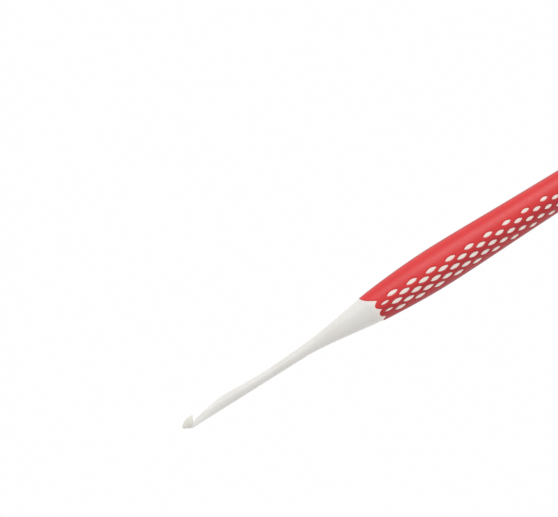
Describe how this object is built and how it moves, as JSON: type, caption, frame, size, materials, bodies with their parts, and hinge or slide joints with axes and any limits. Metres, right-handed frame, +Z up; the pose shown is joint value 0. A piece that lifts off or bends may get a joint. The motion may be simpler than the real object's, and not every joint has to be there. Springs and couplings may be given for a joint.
{
  "type": "crochet hook",
  "caption": "Slim crochet hook with a drop-shaped head, a thin shank and a soft oval grip with small raised pads showing through it.",
  "frame": {"origin": "on the surface the hook lies on, under the middle of its bounding box", "axes": "the long axis is X with the tip at -X and the butt at +X, the mouth faces +Y, and +Z is up"},
  "size_m": [0.17, 0.0108, 0.0092],
  "materials": {
    "white_polymer": "satin, slightly warm white",
    "red_elastomer": "soft-touch, semi-matte"
  },
  "bodies": {
    "root": {"hook_head": "white_polymer", "shank": "white_polymer", "neck": "white_polymer", "grip_core": "white_polymer", "grip_sleeve": "red_elastomer"}
  },
  "joints": []
}
